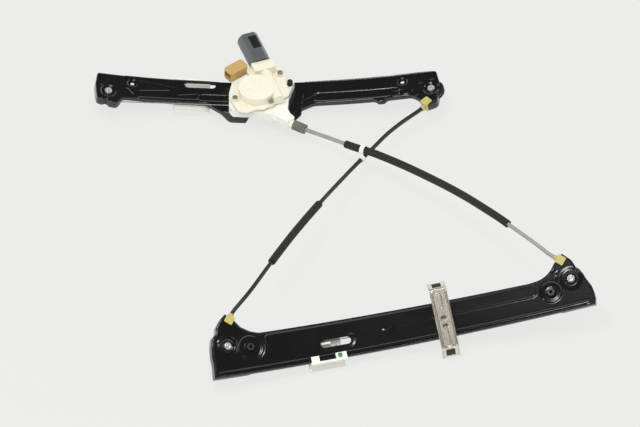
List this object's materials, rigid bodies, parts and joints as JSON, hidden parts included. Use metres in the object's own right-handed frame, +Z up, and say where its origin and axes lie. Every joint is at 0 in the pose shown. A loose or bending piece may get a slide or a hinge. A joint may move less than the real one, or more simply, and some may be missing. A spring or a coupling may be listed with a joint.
{
  "type": "window regulator",
  "caption": "Twin-rail cable-driven power window regulator with a worm gear motor, two sheathed cable runs, pulleys and sliding glass carriers.",
  "frame": {"origin": "under the middle of the laid-out regulator, on the bench it lies on", "axes": "+X along the drive rail, away from the motor; +Y from the slave rail to the drive rail; +Z up off the bench, out of the drive rail's face"},
  "size_m": [0.805, 0.7637, 0.1104],
  "materials": {
    "rail_black_paint": "glossy electrocoated black",
    "pulley_plastic": "moulded black",
    "rivet_zinc": "zinc plated",
    "guard_black": "black moulded",
    "housing_white": "white moulded nylon",
    "housing_ivory": "ivory moulded",
    "cover_black": "black moulded",
    "motor_steel": "satin grey",
    "machined_steel": "turned and hardened",
    "copper": "copper and bronze",
    "magnet_ferrite": "ferrite",
    "connector_ochre": "ochre moulded",
    "fitting_khaki": "yellow-khaki moulded",
    "sheath_grey": "grey extruded jacket",
    "sheath_black": "black extruded jacket",
    "foam_black": "matt foam",
    "rubber_black": "moulded rubber",
    "cable_steel": "stranded steel rope",
    "bracket_zinc": "zinc plated and stained",
    "marker_green": "green moulded"
  },
  "bodies": {
    "regulator_frame": {"drive_rail": "rail_black_paint", "slave_rail": "rail_black_paint", "pulley_rivets": "rivet_zinc", "pulley_guards": "guard_black", "drum_housing": "housing_white", "drum_axle": "rivet_zinc", "gear_cover": "cover_black", "gear_housing": "housing_ivory", "motor_bushes": "copper", "motor_can": "motor_steel", "motor_magnets": "magnet_ferrite", "brush_holder": "cover_black", "motor_brushes": "magnet_ferrite", "connector": "connector_ochre", "connector_pins": "copper", "connector_foot": "housing_white", "motor_screws": "rivet_zinc", "drum_housing_screws": "rivet_zinc", "adjuster_collar": "sheath_grey", "tension_spring": "rivet_zinc", "rubber_stop": "rubber_black", "drive_right_end_fitting": "fitting_khaki", "slave_left_end_fitting": "fitting_khaki", "slave_right_end_fitting": "fitting_khaki", "return_sheath": "sheath_grey", "crossing_sheath": "sheath_black", "return_foam_sleeve": "foam_black", "crossing_foam_sleeve": "foam_black", "cable_clip": "housing_white", "drum_cable": "cable_steel", "crossing_cable": "cable_steel", "return_cable": "cable_steel", "cross_bracket": "bracket_zinc", "bracket_rivets": "rivet_zinc", "bracket_pads": "rubber_black", "mount_nuts": "rivet_zinc"},
    "armature": {"worm": "machined_steel", "motor_shaft": "machined_steel", "armature_core": "machined_steel", "commutator": "copper"},
    "drum_and_wheel": {"cable_drum": "housing_white", "worm_wheel": "housing_ivory"},
    "front_glass_carrier": {"front_carrier": "housing_white", "front_cable_nipples": "machined_steel", "front_glass_inserts": "rivet_zinc", "front_glass_pad": "rubber_black"},
    "rear_glass_carrier": {"rear_carrier": "housing_white", "rear_cable_nipples": "machined_steel", "rear_glass_inserts": "rivet_zinc", "rear_glass_pad": "rubber_black", "rear_carrier_marker": "marker_green"},
    "drive_left_pulley_body": {"drive_left_pulley": "pulley_plastic"},
    "drive_right_pulley_body": {"drive_right_pulley": "pulley_plastic"},
    "slave_left_pulley_body": {"slave_left_pulley": "pulley_plastic"},
    "slave_right_pulley_body": {"slave_right_pulley": "pulley_plastic"}
  },
  "joints": [
    {"name": "motor_spin", "type": "hinge", "parent": "regulator_frame", "child": "armature", "pos_m": [-0.11711, 0.26947, 0.04621], "axis": [-0.3453, 0.9385, 0.0014], "range_deg": [-10313.24, 42542.12]},
    {"name": "drum_turn", "type": "hinge", "parent": "regulator_frame", "child": "drum_and_wheel", "pos_m": [-0.14255, 0.26015, 0.02181], "axis": [0.0041, 0, 1], "range_deg": [-945.38, 229.19]},
    {"name": "front_carrier_travel", "type": "hinge", "parent": "regulator_frame", "child": "front_glass_carrier", "pos_m": [-0.13655, 0.28025, 1.4718], "axis": [0, -1, 0], "range_deg": [-3.16, 13.04]},
    {"name": "rear_carrier_travel", "type": "hinge", "parent": "regulator_frame", "child": "rear_glass_carrier", "pos_m": [0.21468, -1.04832, 1.25182], "axis": [0.2144, -0.8112, -0.544], "range_deg": [-3.16, 13.04]},
    {"name": "drive_left_pulley_turn", "type": "hinge", "parent": "regulator_frame", "child": "drive_left_pulley_body", "pos_m": [-0.38055, 0.26655, 0.03492], "axis": [0.1674, 0, 0.9859], "range_deg": [-1050.42, 254.65]},
    {"name": "drive_right_pulley_turn", "type": "hinge", "parent": "regulator_frame", "child": "drive_right_pulley_body", "pos_m": [0.13801, 0.26655, 0.04045], "axis": [-0.1884, 0, 0.9821], "range_deg": [-1050.42, 254.65]},
    {"name": "slave_left_pulley_turn", "type": "hinge", "parent": "regulator_frame", "child": "slave_left_pulley_body", "pos_m": [-0.19011, -0.3254, 0.0526], "axis": [0.2747, -0.4844, 0.8306], "range_deg": [-254.65, 1050.42]},
    {"name": "slave_right_pulley_turn", "type": "hinge", "parent": "regulator_frame", "child": "slave_right_pulley_body", "pos_m": [0.36118, -0.19669, 0.07799], "axis": [-0.1036, -0.5727, 0.8132], "range_deg": [-254.65, 1050.42]}
  ],
  "couplings": [
    {"joint": "drum_turn", "follows": "motor_spin", "ratio": -0.022222},
    {"joint": "front_carrier_travel", "follows": "motor_spin", "ratio": 0.00030651},
    {"joint": "rear_carrier_travel", "follows": "motor_spin", "ratio": 0.00030651},
    {"joint": "drive_left_pulley_turn", "follows": "motor_spin", "ratio": -0.024691},
    {"joint": "drive_right_pulley_turn", "follows": "motor_spin", "ratio": -0.024691},
    {"joint": "slave_left_pulley_turn", "follows": "motor_spin", "ratio": 0.024691},
    {"joint": "slave_right_pulley_turn", "follows": "motor_spin", "ratio": 0.024691}
  ]
}
